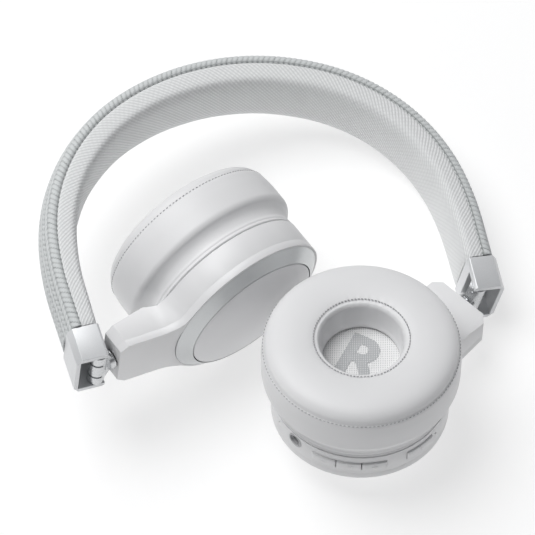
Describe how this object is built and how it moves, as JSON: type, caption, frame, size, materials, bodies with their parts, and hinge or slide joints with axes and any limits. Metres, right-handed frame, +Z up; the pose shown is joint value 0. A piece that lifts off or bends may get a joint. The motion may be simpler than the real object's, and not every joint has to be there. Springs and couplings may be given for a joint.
{
  "type": "folding headphones",
  "caption": "Wireless folding headphones with a knit padded band, sliding folding arms, swivelling round ear cups, soft ear pads, buttons and an audio socket.",
  "frame": {"origin": "middle of the headphones' footprint, on the table that they lie on", "axes": "+Z up from the table; +Y towards the top of the band and +X towards the right ear, with the band tipped about 12 degrees as it lies"},
  "size_m": [0.1671, 0.1796, 0.0742],
  "materials": {
    "knit_cover": "matte",
    "knit_padding": "matte",
    "spring_steel": "satin",
    "rail_plastic": "matte",
    "cap_metal": "satin",
    "pin_steel": "satin",
    "link_metal": "satin",
    "dark_plastic": "matte",
    "shell_plastic": "satin",
    "trim_metallic": "satin",
    "disc_plastic": "satin",
    "housing_plastic": "satin",
    "magnet": "satin",
    "film": "gloss",
    "mesh_fabric": "matte",
    "pad_leather": "satin",
    "cell_wrap": "satin",
    "board": "satin",
    "button_plastic": "satin",
    "socket_dark": "matte",
    "socket_steel": "satin"
  },
  "bodies": {
    "headband": {"band_core": "spring_steel", "band_cover": "knit_cover", "band_pad": "knit_padding", "left_rail": "rail_plastic", "right_rail": "rail_plastic"},
    "left_slider": {"left_slider_strip": "spring_steel", "left_end_cap": "cap_metal", "left_fold_pin": "pin_steel"},
    "left_link": {"left_fold_link": "link_metal", "left_swivel_clip": "spring_steel"},
    "left_ear": {"left_swivel_bush": "dark_plastic", "left_arm_body": "shell_plastic", "left_arm_face": "shell_plastic", "left_trim_ring": "trim_metallic", "left_cover_disc": "disc_plastic", "left_driver_housing": "housing_plastic", "left_housing_screws": "pin_steel", "left_driver_frame": "dark_plastic", "left_driver_magnet": "magnet", "left_diaphragm": "film", "left_ear_mesh": "mesh_fabric", "left_pad_ring": "housing_plastic", "left_ear_pad": "pad_leather", "battery": "cell_wrap"},
    "right_slider": {"right_slider_strip": "spring_steel", "right_end_cap": "cap_metal", "right_fold_pin": "pin_steel"},
    "right_link": {"right_fold_link": "link_metal", "right_swivel_clip": "spring_steel"},
    "right_ear": {"right_swivel_bush": "dark_plastic", "right_arm_body": "shell_plastic", "right_arm_face": "shell_plastic", "right_trim_ring": "trim_metallic", "right_cover_disc": "disc_plastic", "right_driver_housing": "housing_plastic", "right_housing_screws": "pin_steel", "right_driver_frame": "dark_plastic", "right_driver_magnet": "magnet", "right_diaphragm": "film", "right_ear_mesh": "mesh_fabric", "right_pad_ring": "housing_plastic", "right_ear_pad": "pad_leather", "circuit_board": "board", "button_switches": "dark_plastic", "audio_socket": "socket_dark", "charge_socket": "socket_steel"},
    "volume_down_button": {"volume_down_button": "button_plastic"},
    "play_button": {"play_button": "button_plastic"},
    "volume_up_button": {"volume_up_button": "button_plastic"},
    "power_button": {"power_button": "button_plastic"}
  },
  "joints": [
    {"name": "left_slide", "type": "slide", "parent": "headband", "child": "left_slider", "axis": [0.0511, -0.9956, -0.0785], "range_m": [0, 0.005]},
    {"name": "left_fold", "type": "hinge", "parent": "left_slider", "child": "left_link", "pos_m": [-0.07199, -0.02737, 0.0445], "axis": [0.2075, -0.0663, 0.976], "range_deg": [-3, 3]},
    {"name": "left_swivel", "type": "hinge", "parent": "left_link", "child": "left_ear", "pos_m": [-0.06176, -0.02322, 0.04261], "axis": [0.9133, 0.3706, -0.169], "range_deg": [-10, 10]},
    {"name": "right_slide", "type": "slide", "parent": "headband", "child": "right_slider", "axis": [-0.0786, -0.9956, -0.0509], "range_m": [0, 0.025]},
    {"name": "right_fold", "type": "hinge", "parent": "right_slider", "child": "right_link", "pos_m": [0.07166, -0.02737, 0.01397], "axis": [-0.2075, 0.0663, -0.976], "range_deg": [-62.5, 4]},
    {"name": "right_swivel", "type": "hinge", "parent": "right_link", "child": "right_ear", "pos_m": [0.06187, -0.03253, 0.0157], "axis": [0.874, 0.4607, -0.1545], "range_deg": [-78, 12]},
    {"name": "volume_down_press", "type": "slide", "parent": "right_ear", "child": "volume_down_button", "axis": [0.6305, 0.7589, -0.163], "range_m": [0, 0.0004], "stiffness_N_per_m": 900},
    {"name": "play_press", "type": "slide", "parent": "right_ear", "child": "play_button", "axis": [0.3912, 0.9074, -0.1538], "range_m": [0, 0.0004], "stiffness_N_per_m": 900},
    {"name": "volume_up_press", "type": "slide", "parent": "right_ear", "child": "volume_up_button", "axis": [0.1208, 0.9838, -0.1325], "range_m": [0, 0.0004], "stiffness_N_per_m": 900},
    {"name": "power_press", "type": "slide", "parent": "right_ear", "child": "power_button", "axis": [-0.4234, 0.9038, -0.0613], "range_m": [0, 0.0004], "stiffness_N_per_m": 900}
  ]
}
